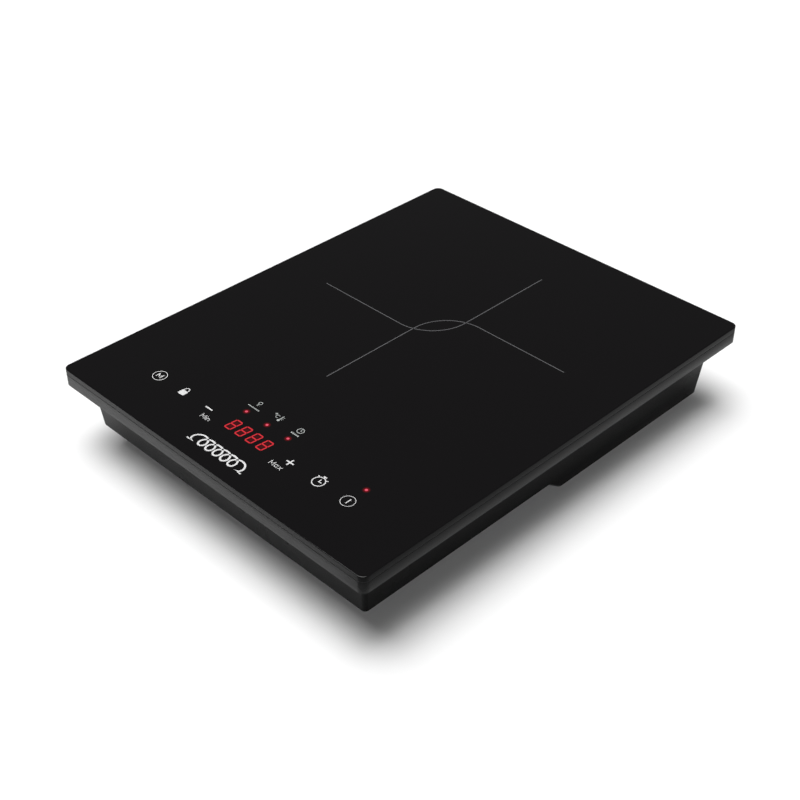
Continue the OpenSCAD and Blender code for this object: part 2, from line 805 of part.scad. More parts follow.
module board_screws() {
    color("#8f9296") board_hole_places() translate([0, 0, parts_z])
        screw(board_screw_r, board_t + board_post_h - 0.5, small_head[0], small_head[1]);
}

module heatsink() {
    fins_w = sink_w - sink_side;
    color("#b4b8bc") translate([sink_x, sink_y, parts_z]) difference() {
        union() {
            cube([sink_w, sink_d, sink_base]);
            translate([fins_w, 0, 0]) cube([sink_side, sink_d, sink_h]);
            for (i = [0:fin_count - 1])
                translate([i * fins_w / fin_count, 0, 0]) cube([fin_t, sink_d, sink_h]);
        }
        for (y = device_ys)
            translate([fins_w - 1, y - sink_y, clip_z - parts_z]) rotate([0, 90, 0])
                cylinder(h = sink_side + 2, r = clip_r + screw_fit);
    }
}

// flat power device that stands on its legs against the heatsink's side
module power_device(y, width, height, leg_count, leg_pitch) {
    difference() {
        block([device_x, y - width / 2, parts_z + device_leg], [device_t, width, height]);
        translate([device_x - 1, y, clip_z]) rotate([0, 90, 0])
            cylinder(h = device_t + 2, r = clip_r + screw_fit);
    }
    for (i = [0:leg_count - 1])
        block([device_x + 2, y + (i - (leg_count - 1) / 2) * leg_pitch - 0.6, parts_z],
            [0.7, 1.2, device_leg + eps]);
}

module switch_transistor() {
    color("#222224") power_device(device_ys[0], 16, 20, 3, 5.4);
}

module bridge_rectifier() {
    color("#2a2a2a") power_device(device_ys[1], 26, 16, 4, 6.5);
}

module heatsink_screws() {
    color("#8f9296") for (y = device_ys)
        translate([device_x + device_t, y, clip_z]) rotate([0, 90, 0])
            screw(clip_r, device_t + sink_side - 0.5, small_head[0], small_head[1]);
}

// moulded box capacitor on two legs
module box_capacitor(x, y, w, d, h) {
    on_board(x, y) {
        translate([0, 0, 0.5]) cube([w, d, h - 0.5]);
        for (px = [w * 0.15, w * 0.85])
            translate([px, d / 2, 0]) cylinder(h = 0.6, r = 1);
    }
}

module resonant_capacitor() {
    color("#c9b23c") box_capacitor(62, 13, 34, 18, 24);
}

module filter_capacitor() {
    color("#c9b23c") box_capacitor(62, 35, 34, 22, 26);
}

module line_capacitor() {
    color("#3c6fa5") box_capacitor(98, 62, 9, 26, 18);
}

module storage_capacitors() {
    color("#2b3a55") {
        on_board(14, 94) cylinder(h = 18, r = 6);
        on_board(29, 95) cylinder(h = 16, r = 5);
    }
}

module choke_core() {
    color("#3f6f56") on_board(76, 76) translate([0, 0, 2]) difference() {
        cylinder(h = 9, r = 13);
        translate([0, 0, -1]) cylinder(h = 11, r = 7.5);
    }
}

// two windings on opposite halves of the ring core
module choke_winding() {
    color("#b5692f") on_board(76, 76) difference() {
        intersection() {
            difference() {
                cylinder(h = 13, r = 15);
                post(0, 0, -1, 14, 5.5);
            }
            for (side = [-1, 1])
                block([side * 10.5 - 6.5, -16, 0], [13, 32, 14]);
        }
        difference() {
            post(0, 0, 2 - wrap_gap, 11 + wrap_gap, 13 + wrap_gap);
            post(0, 0, 0, 13, 7.5 - wrap_gap);
        }
    }
}

module transformer_core() {
    color("#3a3b3e") on_board(46, 87) translate([0, 3, 1.5]) difference() {
        cube([20, 6, 16]);
        for (x = [4, 12])
            translate([x, -1, 4]) cube([4, 8, 8]);
    }
}

module transformer_bobbin() {
    color("#c7a64a") on_board(46, 87) {
        difference() {
            translate([4, 0, 5.5]) cube([12, 12, 8]);
            translate([8, 3, 4]) cube([4, 6, 12]);
            translate([3, 3, 4]) cube([1, 6, 12]);
        }
        translate([4, 0, 0]) cube([12, 3, 5.5 + eps]);
        translate([4, 9, 0]) cube([12, 3, 5.5 + eps]);
    }
}

module fuse() {
    color("#d8d9dc") on_board(104, 25) {
        translate([0, 11, 3.6]) rotate([90, 0, 0]) cylinder(h = 22, r = 2.6);
        for (y = [-10, 6])
            translate([-2, y, 0]) cube([4, 4, 2]);
    }
}

module varistor() {
    color("#2d5f86") on_board(104, 48) {
        translate([-2.2, 0, 9]) rotate([0, 90, 0]) cylinder(h = 4.4, r = 7);
        for (y = [-3.5, 3.5])
            translate([0, y, 0]) cylinder(h = 4, r = 0.5);
    }
}

module coil_terminals() {
    color("#c2a14d") for (x = terminal_xs)
        translate([x, terminal_y, parts_z]) cylinder(h = terminal_h, r = 4);
}

module board_sockets() {
    color("#e9e6dc") for (i = [0:2])
        translate([socket_xs[i], board_y + 1, parts_z]) difference() {
            cube([socket_ws[i], socket_d, socket_h]);
            translate([1, 1, 2]) cube([socket_ws[i] - 2, socket_d - 2, socket_h]);
        }
}

module mains_terminals() {
    color("#4a4b4d") on_board(80, 94) difference() {
        cube([18, 10, 12]);
        for (x = [5, 13])
            translate([x, 5, 6]) cylinder(h = 10, r = 2.4);
    }
}

// ---- controls ----

module control_board() {
    color("#2f6b45") translate([0, control_y, control_z]) plate(control_w, control_d, board_t, 1.5);
}

module control_bracket() {
    opening_w = control_w - 2 * ledge;
    opening_d = control_d - 2 * ledge;
    color("#303033") difference() {
        union() {
            translate([0, control_y, bracket_z])
                plate(bracket_w, bracket_d, deck_z - bracket_z, 2);
            for (side = [-1, 1], y = [-ear_y, ear_y])
                block([side * (ear_x - 1) - ear_w / 2, control_y + y - 5, ear_z], [ear_w, 10, bracket_t]);
        }
        translate([0, control_y, control_z])
            plate(control_w + 2 * bracket_gap, control_d + 2 * bracket_gap, 20, 1.5);
        translate([0, control_y, bracket_z - 1]) plate(opening_w, opening_d, 20, 2);
        bracket_screw_places() translate([0, 0, ear_z - 1])
            cylinder(h = bracket_t + 2, r = post_screw_r + screw_pass);
    }
}

module bracket_screws() {
    color("#8f9296") bracket_screw_places() translate([0, 0, ear_z])
        mirror([0, 0, 1]) screw(post_screw_r, bracket_t + 3, 2.6, 1.8);
}

module display_module() {
    digit_pitch = 9.75;
    color("#5a1512") translate([-21, key_y - 8, control_top]) difference() {
        cube([42, 16, 8]);
        for (i = [0:3])
            translate([21 + (i - 1.5) * digit_pitch - 3.6, 2.4, 7.7]) cube([7.2, 11.2, 1]);
    }
}

module indicator_lamps() {
    lamp_r = 1.5;
    color("#c9352b") for (x = lamp_xs)
        translate([x, lamp_y, control_top]) {
            cylinder(h = 5, r = lamp_r);
            translate([0, 0, 5]) sphere(lamp_r - eps);
            cylinder(h = 1, r = lamp_r + 0.5);
        }
}

module touch_springs() {
    color("#c7a64a") for (x = key_xs)
        translate([x, key_y, control_top]) coil_spring(4, 0.4, glass_z - control_top, 3);
}

module controller_chip() {
    color("#1b1b1c") translate([26, control_y - 5, control_z - 1.4]) cube([10, 10, 1.4]);
}

module buzzer() {
    color("#202022") translate([-60, control_y, control_z - 7]) difference() {
        cylinder(h = 7, r = 6);
        translate([0, 0, -1]) cylinder(h = 2, r = 1);
    }
}

// outline of a band of the given thickness along an open route
function strip(p, t) =
    let (n = len(p) - 1,
        ways = [for (i = [0:n - 1]) unit(p[i + 1] - p[i])],
        sides = [for (i = [0:n])
            let (a = ways[max(i - 1, 0)], b = ways[min(i, n - 1)], m = unit(a + b))
            t / 2 / (m * a) * [-m[1], m[0]]])
    concat([for (i = [0:n]) p[i] + sides[i]], [for (i = [n:-1:0]) p[i] - sides[i]]);

module ribbon_cable() {
    cable_w = 10;
    cable_t = 0.9;
    y0 = control_y + 6;
    y1 = board_y + 1 + socket_d / 2;
    route = [[y0, control_z], [y0, front_floor + 8], [y0 + 4, front_floor + 2.5],
        [step_y + 6, front_floor + 2.5],
        [y1 - 18, socket_top + 7], [y1 - 6, socket_top + 9], [y1, socket_top + 5], [y1, parts_z + 2]];
    color("#a9acb0") translate([socket_xs[1] + 1, 0, 0]) rotate([90, 0, 90])
        linear_extrude(cable_w) polygon(strip(route, cable_t));
}

// ---- cord entry ----

module cord_gland() {
    color("#1a1a1b") translate([cord_x, gland_face, cord_z]) rotate([-90, 0, 0]) difference() {
        union() {
            translate([0, 0, -gland_boss_l - gland_nut_t])
                cylinder(h = gland_boss_l + gland_nut_t, r = gland_r);
            cylinder(h = gland_flange_t, r = gland_r + 3.5);
            translate([0, 0, gland_flange_t]) cylinder(h = gland_nose, r1 = gland_r + 1, r2 = gland_r - 0.5);
        }
        translate([0, 0, -20]) cylinder(h = 40, r = cord_bore_r);
    }
}

module gland_nut() {
    color("#2f2f31") translate([cord_x, gland_face - gland_boss_l, cord_z]) rotate([90, 0, 0]) difference() {
        cylinder(h = gland_nut_t, r = gland_r + 3, $fn = 6);
        translate([0, 0, -1]) cylinder(h = gland_nut_t + 2, r = gland_r + gland_fit);
    }
}

glass_top();
glass_bond();
upper_housing();
bottom_housing();
housing_screws();
foot_front_left();
foot_front_right();
foot_rear_left();
foot_rear_right();
mica_sheet();
coil_winding();
coil_carrier();
ferrite_bars();
carrier_screws();
coil_leads();
pan_sensor();
sensor_spring();
fan_frame();
fan_impeller();
fan_magnet();
fan_shaft();
fan_bush();
fan_stator();
fan_windings();
fan_board();
fan_screws();
fan_lead();
air_guide();
power_board();
board_screws();
heatsink();
switch_transistor();
bridge_rectifier();
heatsink_screws();
resonant_capacitor();
filter_capacitor();
line_capacitor();
storage_capacitors();
choke_core();
choke_winding();
transformer_core();
transformer_bobbin();
fuse();
varistor();
coil_terminals();
board_sockets();
mains_terminals();
control_board();
control_bracket();
bracket_screws();
display_module();
indicator_lamps();
touch_springs();
controller_chip();
buzzer();
ribbon_cable();
cord_gland();
gland_nut();
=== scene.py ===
"""Portable induction cooktop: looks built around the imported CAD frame. Metres, +Z up, front towards -Y."""

import json
import math

import bmesh
import bpy
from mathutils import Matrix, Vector


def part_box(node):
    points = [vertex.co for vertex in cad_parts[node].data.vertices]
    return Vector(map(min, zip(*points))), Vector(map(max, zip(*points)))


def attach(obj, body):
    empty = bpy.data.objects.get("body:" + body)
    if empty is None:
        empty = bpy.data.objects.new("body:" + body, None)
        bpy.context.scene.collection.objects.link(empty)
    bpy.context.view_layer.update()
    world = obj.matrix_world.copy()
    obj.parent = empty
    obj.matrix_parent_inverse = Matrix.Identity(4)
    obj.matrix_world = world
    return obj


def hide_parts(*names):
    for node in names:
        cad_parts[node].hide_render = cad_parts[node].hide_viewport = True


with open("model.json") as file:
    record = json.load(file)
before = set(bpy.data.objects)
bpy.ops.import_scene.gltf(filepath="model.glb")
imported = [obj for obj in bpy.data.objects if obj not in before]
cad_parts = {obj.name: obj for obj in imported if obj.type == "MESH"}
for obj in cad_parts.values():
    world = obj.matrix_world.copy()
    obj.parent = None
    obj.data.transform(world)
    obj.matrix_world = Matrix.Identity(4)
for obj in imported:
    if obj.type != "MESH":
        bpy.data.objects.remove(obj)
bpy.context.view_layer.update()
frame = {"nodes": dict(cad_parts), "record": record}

MM = 0.001
CAD_SHARP = 32                          # degrees: CAD edges that turn more than this are kept or rounded

# ---- places that the CAD gives ----

glass_low, glass_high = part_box("glass_top")
display_low, display_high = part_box("display_module")
lamps_low, lamps_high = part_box("indicator_lamps")
keys_low, keys_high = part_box("touch_springs")
rotor_low, rotor_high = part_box("fan_impeller")
coil_low, coil_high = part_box("coil_winding")

glass_corner_r = 5 * MM
ink_t = 0.05 * MM                       # ink stands this far out of the plate, up to the CAD's own top
ink_top = glass_high.z
plate_top = ink_top - ink_t
print_low = plate_top - 0.02 * MM       # ink and lit plates start this far down in the glass
key_row = (keys_low.y + keys_high.y) / 2
lamp_row = (lamps_low.y + lamps_high.y) / 2
zone_centre = (coil_low + coil_high) / 2
fan_centre = (rotor_low + rotor_high) / 2


def lit(level):
    """Linear value of a display level from 0 to 255."""
    share = level / 255
    return share / 12.92 if share <= 0.04045 else ((share + 0.055) / 1.055) ** 2.4


def tone(red, green, blue):
    return (lit(red), lit(green), lit(blue), 1.0)


# ---- camera ----

def add_camera():
    azimuth = math.radians(45.01)
    elevation = math.radians(36.23)
    aim = Vector((0.0393, -0.0465, ink_top))
    distance = 0.8894
    back = Vector((math.sin(azimuth) * math.cos(elevation), -math.cos(azimuth) * math.cos(elevation),
                   math.sin(elevation)))
    data = bpy.data.cameras.new("camera")
    data.sensor_width = 36
    data.lens = 64.1
    data.clip_start = 0.01
    data.clip_end = 50
    camera = bpy.data.objects.new("camera", data)
    camera.rotation_mode = "QUATERNION"
    camera.location = aim + back * distance
    camera.rotation_quaternion = (-back).to_track_quat("-Z", "Y")
    bpy.context.collection.objects.link(camera)
    bpy.context.scene.camera = camera


# ---- materials ----

def shader(name):
    """A new node material, with its node tree, its main shader and its object coordinates."""
    made = bpy.data.materials.new(name)
    made.use_nodes = True
    tree = made.node_tree
    coords = tree.nodes.new("ShaderNodeTexCoord")
    return made, tree, tree.nodes["Principled BSDF"], coords.outputs["Object"]


def noise(tree, coords, size, detail=3.0):
    node = tree.nodes.new("ShaderNodeTexNoise")
    node.inputs["Scale"].default_value = 1 / size
    node.inputs["Detail"].default_value = detail
    tree.links.new(coords, node.inputs["Vector"])
    return node.outputs["Fac"]


def spread(tree, value, low, high):
    """Maps a noise value to the range from low to high."""
    node = tree.nodes.new("ShaderNodeMapRange")
    node.inputs["From Min"].default_value = 0.25
    node.inputs["From Max"].default_value = 0.75
    node.inputs["To Min"].default_value = low
    node.inputs["To Max"].default_value = high
    tree.links.new(value, node.inputs["Value"])
    return node.outputs["Result"]


def blend_colors(tree, value, first, second):
    node = tree.nodes.new("ShaderNodeMix")
    node.data_type = "RGBA"
    node.inputs["A"].default_value = first
    node.inputs["B"].default_value = second
    tree.links.new(value, node.inputs["Factor"])
    return node.outputs["Result"]


def bump(tree, main, value, height):
    node = tree.nodes.new("ShaderNodeBump")
    node.inputs["Distance"].default_value = height
    node.inputs["Strength"].default_value = 1.0
    tree.links.new(value, node.inputs["Height"])
    tree.links.new(node.outputs["Normal"], main.inputs["Normal"])


def shade(color, factor):
    return (color[0] * factor, color[1] * factor, color[2] * factor, 1.0)


def plain(name, color, rough, metal=0.0, patch=12 * MM, variation=0.12, grain=0.15 * MM, relief=0.004 * MM,
          ior=1.5, coat=0.0):
    """Moulded, cast, painted or rolled finish: slow colour change, uneven gloss and a fine surface grain."""
    made, tree, main, coords = shader(name)
    slow = noise(tree, coords, patch)
    fine = noise(tree, coords, grain)
    main.inputs["Metallic"].default_value = metal
    main.inputs["IOR"].default_value = ior
    main.inputs["Coat Weight"].default_value = coat
    share = spread(tree, slow, 0.0, 1.0)
    mixed = blend_colors(tree, share, shade(color, 1 - variation), shade(color, 1 + variation))
    tree.links.new(mixed, main.inputs["Base Color"])
    tree.links.new(spread(tree, slow, rough * 0.88, rough * 1.12), main.inputs["Roughness"])
    bump(tree, main, fine, relief)
    return made


def brushed(name, color, rough, direction=(1, 0.04, 0.04)):
    """Metal with fine parallel marks."""
    made, tree, main, coords = shader(name)
    stretch = tree.nodes.new("ShaderNodeMapping")
    stretch.inputs["Scale"].default_value = direction
    tree.links.new(coords, stretch.inputs["Vector"])
    marks = noise(tree, stretch.outputs["Vector"], 0.1 * MM)
    main.inputs["Metallic"].default_value = 1.0
    mixed = blend_colors(tree, marks, shade(color, 0.85), shade(color, 1.1))
    tree.links.new(mixed, main.inputs["Base Color"])
    tree.links.new(spread(tree, marks, rough * 0.8, rough * 1.25), main.inputs["Roughness"])
    bump(tree, main, marks, 0.006 * MM)
    return made


def turning(tree, coords, centre):
    """Distance from an upright axis and angle around it."""
    moved = tree.nodes.new("ShaderNodeVectorMath")
    moved.operation = "SUBTRACT"
    moved.inputs[1].default_value = (centre.x, centre.y, 0)
    tree.links.new(coords, moved.inputs[0])
    parts = tree.nodes.new("ShaderNodeSeparateXYZ")
    tree.links.new(moved.outputs["Vector"], parts.inputs["Vector"])
    angle = tree.nodes.new("ShaderNodeMath")
    angle.operation = "ARCTAN2"
    tree.links.new(parts.outputs["Y"], angle.inputs[0])
    tree.links.new(parts.outputs["X"], angle.inputs[1])
    return parts, angle.outputs["Value"]


def litz_wire(name):
    """Enamelled strands twisted into a cord: slanting ridges that run along the winding."""
    ridges_per_radian = 110.0
    ridges_per_height = 3.2 / MM
    made, tree, main, coords = shader(name)
    parts, angle = turning(tree, coords, zone_centre)
    twist = tree.nodes.new("ShaderNodeMath")
    twist.operation = "MULTIPLY_ADD"
    twist.inputs[1].default_value = ridges_per_radian
    lift = tree.nodes.new("ShaderNodeMath")
    lift.operation = "MULTIPLY"
    lift.inputs[1].default_value = ridges_per_height
    tree.links.new(parts.outputs["Z"], lift.inputs[0])
    tree.links.new(angle, twist.inputs[0])
    tree.links.new(lift.outputs["Value"], twist.inputs[2])
    ridge = tree.nodes.new("ShaderNodeMath")
    ridge.operation = "SINE"
    tree.links.new(twist.outputs["Value"], ridge.inputs[0])
    strands = noise(tree, coords, 0.5 * MM)
    height = tree.nodes.new("ShaderNodeMath")
    height.operation = "MULTIPLY_ADD"
    height.inputs[1].default_value = 0.5
    tree.links.new(ridge.outputs["Value"], height.inputs[0])
    tree.links.new(strands, height.inputs[2])
    main.inputs["Metallic"].default_value = 0.75
    main.inputs["Coat Weight"].default_value = 0.3
    # colour follows the relief: darker brown in the grooves between strands is painted shade, copper on the
    # crests
    share = spread(tree, height.outputs["Value"], 0.0, 1.0)
    mixed = blend_colors(tree, share, (0.2, 0.055, 0.018, 1), (0.62, 0.25, 0.1, 1))
    tree.links.new(mixed, main.inputs["Base Color"])
    tree.links.new(spread(tree, strands, 0.28, 0.45), main.inputs["Roughness"])
    bump(tree, main, height.outputs["Value"], 0.08 * MM)
    return made


def circuit_board(name):
    """Green lacquer over faint copper tracks."""
    made, tree, main, coords = shader(name)
    tracks = tree.nodes.new("ShaderNodeTexBrick")
    tracks.inputs["Scale"].default_value = 1 / (9 * MM)
    tracks.inputs["Mortar Size"].default_value = 0.05
    tracks.inputs["Brick Width"].default_value = 1.7
    tracks.inputs["Row Height"].default_value = 0.35
    tracks.inputs["Color1"].default_value = (0.012, 0.075, 0.03, 1)
    tracks.inputs["Color2"].default_value = (0.016, 0.095, 0.038, 1)
    tracks.inputs["Mortar"].default_value = (0.03, 0.16, 0.06, 1)
    tree.links.new(coords, tracks.inputs["Vector"])
    tree.links.new(tracks.outputs["Color"], main.inputs["Base Color"])
    slow = noise(tree, coords, 6 * MM)
    tree.links.new(spread(tree, slow, 0.25, 0.4), main.inputs["Roughness"])
    bump(tree, main, tracks.outputs["Fac"], 0.02 * MM)
    return made


def ribbed_cable(name):
    """Flat cable: grey insulation with ridges about 2.5 mm apart."""
    band = 6.3 * 1.25 * MM
    made, tree, main, coords = shader(name)
    wave = tree.nodes.new("ShaderNodeTexWave")
    wave.bands_direction = "X"
    wave.inputs["Scale"].default_value = 1 / band
    tree.links.new(coords, wave.inputs["Vector"])
    # the grey follows the ridges: the darker grey in the grooves between ridges is painted shade
    mixed = blend_colors(tree, wave.outputs["Fac"], (0.16, 0.17, 0.18, 1), (0.36, 0.38, 0.4, 1))
    tree.links.new(mixed, main.inputs["Base Color"])
    main.inputs["Roughness"].default_value = 0.5
    bump(tree, main, wave.outputs["Fac"], 0.2 * MM)
    return made


def glass_plate(name):
    """Black glass-ceramic, polished, with the faintest unevenness."""
    made, tree, main, coords = shader(name)
    main.inputs["Base Color"].default_value = GLASS_TONE
    main.inputs["IOR"].default_value = 1.5
    wipe = noise(tree, coords, 60 * MM, 2.0)
    tree.links.new(spread(tree, wipe, 0.05, 0.085), main.inputs["Roughness"])
    return made


def ink(name, color):
    """Screen print fired on the glass: matt, with small density changes."""
    made, tree, main, coords = shader(name)
    dots = noise(tree, coords, 0.3 * MM)
    mixed = blend_colors(tree, dots, shade(color, 0.94), shade(color, 1.06))
    tree.links.new(mixed, main.inputs["Base Color"])
    tree.links.new(spread(tree, dots, 0.5, 0.62), main.inputs["Roughness"])
    return made


def glow(name, color, strength):
    """Lit segment or lamp seen through the glass, with a faint grain."""
    made, tree, main, coords = shader(name)
    main.inputs["Base Color"].default_value = (0.05, 0.004, 0.004, 1)
    main.inputs["Roughness"].default_value = 0.1
    grain = noise(tree, coords, 0.8 * MM)
    mixed = blend_colors(tree, grain, shade(color, 0.92), shade(color, 1.08))
    tree.links.new(mixed, main.inputs["Emission Color"])
    main.inputs["Emission Strength"].default_value = strength
    return made


def halo(name, reach, color):
    """Light that spreads in the glass around a lamp or a digit. It dies out at reach from the middle."""
    made, tree, main, coords = shader(name)
    main.inputs["Base Color"].default_value = GLASS_TONE
    main.inputs["Roughness"].default_value = 0.07
    scaled = tree.nodes.new("ShaderNodeVectorMath")
    scaled.operation = "DIVIDE"
    scaled.inputs[1].default_value = (reach[0], reach[1], 1.0)
    tree.links.new(coords, scaled.inputs[0])
    flat = tree.nodes.new("ShaderNodeVectorMath")
    flat.operation = "MULTIPLY"
    flat.inputs[1].default_value = (1, 1, 0)
    tree.links.new(scaled.outputs["Vector"], flat.inputs[0])
    length = tree.nodes.new("ShaderNodeVectorMath")
    length.operation = "LENGTH"
    tree.links.new(flat.outputs["Vector"], length.inputs[0])
    fade = tree.nodes.new("ShaderNodeMapRange")
    fade.interpolation_type = "SMOOTHERSTEP"
    fade.inputs["From Min"].default_value = 0.1
    fade.inputs["From Max"].default_value = 1.0
    fade.inputs["To Min"].default_value = 1.0
    fade.inputs["To Max"].default_value = 0.0
    tree.links.new(length.outputs["Value"], fade.inputs["Value"])
    mixed = blend_colors(tree, fade.outputs["Result"], (0, 0, 0, 1), color)
    tree.links.new(mixed, main.inputs["Emission Color"])
    main.inputs["Emission Strength"].default_value = 1.0
    return made


GLASS_TONE = (0.0046, 0.0042, 0.0046, 1)

FINISHES = {
    "glass": glass_plate("glass"),
    "bond": plain("bond", (0.004, 0.004, 0.004, 1), 0.55, variation=0.05),
    "rim": plain("rim", (0.005, 0.005, 0.0052, 1), 0.24, patch=30 * MM, variation=0.04, relief=0.0015 * MM,
                 ior=1.18),
    "tray": plain("tray", (0.0035, 0.0035, 0.0036, 1), 0.26, patch=30 * MM, variation=0.05, grain=0.25 * MM,
                  relief=0.003 * MM, ior=1.1),
    "foot": plain("foot", (0.012, 0.012, 0.012, 1), 0.8, grain=0.4 * MM, relief=0.02 * MM, ior=1.35),
    "screw": brushed("screw", (0.42, 0.43, 0.45, 1), 0.32),
    "mica": plain("mica", (0.55, 0.46, 0.32, 1), 0.38, patch=5 * MM, variation=0.2, coat=0.2),
    "copper": litz_wire("copper"),
    "carrier": plain("carrier", (0.62, 0.58, 0.48, 1), 0.5, grain=0.3 * MM, relief=0.006 * MM),
    "ferrite": plain("ferrite", (0.035, 0.036, 0.04, 1), 0.6, grain=0.4 * MM, relief=0.02 * MM),
    "ceramic": plain("ceramic", (0.78, 0.75, 0.68, 1), 0.35, variation=0.04),
    "spring": brushed("spring", (0.55, 0.56, 0.58, 1), 0.25),
    "fan": plain("fan", (0.018, 0.018, 0.019, 1), 0.38, relief=0.003 * MM),
    "magnet": plain("magnet", (0.04, 0.04, 0.042, 1), 0.5, grain=0.3 * MM),
    "shaft": brushed("shaft", (0.66, 0.67, 0.7, 1), 0.16, (0.04, 0.04, 1)),
    "bronze": plain("bronze", (0.5, 0.32, 0.12, 1), 0.4, metal=1.0, grain=0.2 * MM, relief=0.008 * MM),
    "lamination": brushed("lamination", (0.34, 0.35, 0.38, 1), 0.42, (0.04, 0.04, 1)),
    "board": circuit_board("board"),
    "lead_red": plain("lead_red", (0.25, 0.012, 0.01, 1), 0.4, variation=0.06),
    "heatsink": brushed("heatsink", (0.55, 0.57, 0.6, 1), 0.4, (0.04, 1, 0.04)),
    "device": plain("device", (0.016, 0.016, 0.017, 1), 0.48, grain=0.12 * MM, relief=0.006 * MM),
    "film_cap": plain("film_cap", (0.55, 0.42, 0.04, 1), 0.38, variation=0.05),
    "line_cap": plain("line_cap", (0.03, 0.14, 0.36, 1), 0.36, variation=0.05),
    "can_cap": plain("can_cap", (0.02, 0.035, 0.09, 1), 0.3, variation=0.05, coat=0.3),
    "core_green": plain("core_green", (0.03, 0.14, 0.075, 1), 0.4, grain=0.5 * MM, relief=0.01 * MM),
    "bobbin": plain("bobbin", (0.5, 0.33, 0.07, 1), 0.3, variation=0.08, coat=0.3),
    "brass": plain("brass", (0.68, 0.46, 0.16, 1), 0.26, metal=1.0),
    "socket": plain("socket", (0.75, 0.72, 0.63, 1), 0.42, variation=0.04),
    "terminal": plain("terminal", (0.05, 0.052, 0.055, 1), 0.45),
    "fuse_glass": plain("fuse_glass", (0.6, 0.62, 0.64, 1), 0.1, variation=0.05, coat=0.6),
    "display": plain("display", (0.075, 0.008, 0.006, 1), 0.25, variation=0.05),
    "lamp": plain("lamp", (0.5, 0.02, 0.015, 1), 0.15, variation=0.05, coat=0.5),
    "ribbon": ribbed_cable("ribbon"),
    "gland": plain("gland", (0.012, 0.012, 0.0125, 1), 0.5, grain=0.2 * MM, relief=0.008 * MM),
}
GLASS_EDGE = plain("glass_edge", (0.004, 0.004, 0.0042, 1), 0.2, variation=0.03, relief=0.001 * MM, ior=1.125)
WHITE_INK = ink("white_ink", tone(208, 208, 208))
FINE_INK = ink("fine_ink", tone(164, 168, 166))
GREY_INK = ink("grey_ink", tone(86, 86, 88))
RED_GLOW = glow("red_glow", tone(214, 50, 60), 1.0)
LAMP_GLOW = glow("lamp_glow", tone(228, 88, 112), 1.0)


def dress_cad():
    """Gives each CAD node the finish of its material slot."""
    for part in frame["record"]["subparts"]:
        node = frame["nodes"][part["node"]]
        node.data.materials.clear()
        node.data.materials.append(FINISHES[part["material_slot"]])
        for face in node.data.polygons:
            face.material_index = 0


# ---- mesh tools ----

def add_piece(name, mesh, finish, body="base", replaced=(), sharp=35):
    """Adds a mesh to the scene as a named piece that moves with a body."""
    mesh.materials.append(finish)
    piece = bpy.data.objects.new(name, mesh)
    bpy.context.collection.objects.link(piece)
    for face in mesh.polygons:
        face.use_smooth = True
    mesh.set_sharp_from_angle(angle=math.radians(sharp))
    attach(piece, body)
    if replaced:
        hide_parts(*replaced)
    return piece


def closed_mesh(name, rings, loop=False):
    """Skins a list of equal rings of points. The end rings are capped, unless the rings run in a loop."""
    count = len(rings[0])
    points = [p for ring in rings for p in ring]
    faces = []
    spans = len(rings) if loop else len(rings) - 1
    for i in range(spans):
        here = i * count
        there = (i + 1) % len(rings) * count
        for k in range(count):
            after = (k + 1) % count
            faces.append((here + k, here + after, there + after, there + k))
    if not loop:
        faces.append(tuple(range(count - 1, -1, -1)))
        faces.append(tuple(range(spans * count, spans * count + count)))
    mesh = bpy.data.meshes.new(name)
    mesh.from_pydata([tuple(p) for p in points], [], faces)
    shell = bmesh.new()
    shell.from_mesh(mesh)
    bmesh.ops.recalc_face_normals(shell, faces=shell.faces)
    shell.to_mesh(mesh)
    shell.free()
    return mesh


def lathe(name, profile, centre, steps=96):
    """Turns a closed profile of (radius, height) points about an upright axis."""
    rings = []
    for i in range(steps):
        angle = 2 * math.pi * i / steps
        rings.append([Vector((centre.x + r * math.cos(angle), centre.y + r * math.sin(angle), z))
                      for r, z in profile])
    mesh = closed_mesh(name, rings, loop=True)
    tidy = bmesh.new()
    tidy.from_mesh(mesh)
    bmesh.ops.remove_doubles(tidy, verts=tidy.verts, dist=1e-6)
    bmesh.ops.recalc_face_normals(tidy, faces=tidy.faces)
    tidy.to_mesh(mesh)
    tidy.free()
    return mesh


def arc(cx, cy, r, start, end, steps):
    """Points on an arc, with the angles in degrees."""
    turn = [math.radians(start + (end - start) * i / steps) for i in range(steps + 1)]
    return [Vector((cx + r * math.cos(a), cy + r * math.sin(a))) for a in turn]


def circle(cx, cy, r, steps):
    """Points around a full circle, without the first one again at the end."""
    return arc(cx, cy, r, 0, 360 - 360 / steps, steps - 1)


def rounded_outline(width, depth, r, steps=12):
    """Outline of a rectangle with round corners, centred on the origin."""
    x = width / 2 - r
    y = depth / 2 - r
    return (arc(x, y, r, 0, 90, steps) + arc(-x, y, r, 90, 180, steps)
            + arc(-x, -y, r, 180, 270, steps) + arc(x, -y, r, 270, 360, steps))


# ---- glass ----

def add_glass():
    """Plate with ground and rounded edges."""
    top_r = 0.4 * MM
    low_r = 0.15 * MM
    width = glass_high.x - glass_low.x
    depth = glass_high.y - glass_low.y
    levels = []
    for a in range(0, 91, 15):
        lean = math.radians(a)
        levels.append((low_r * (1 - math.sin(lean)), glass_low.z + low_r * (1 - math.cos(lean))))
    for a in range(0, 91, 15):
        lean = math.radians(a)
        levels.append((top_r * (1 - math.cos(lean)), plate_top - top_r * (1 - math.sin(lean))))
    rings = []
    for inset, z in levels:
        outline = rounded_outline(width - 2 * inset, depth - 2 * inset, glass_corner_r - inset)
        rings.append([Vector((p.x, p.y, z)) for p in outline])
    plate = add_piece("glass_plate", closed_mesh("glass_plate", rings), FINISHES["glass"],
                      replaced=["glass_top"])
    plate.data.materials.append(GLASS_EDGE)
    for face in plate.data.polygons:
        face.material_index = 0 if abs(face.normal.z) > 0.9 else 1


# ---- print on the glass ----

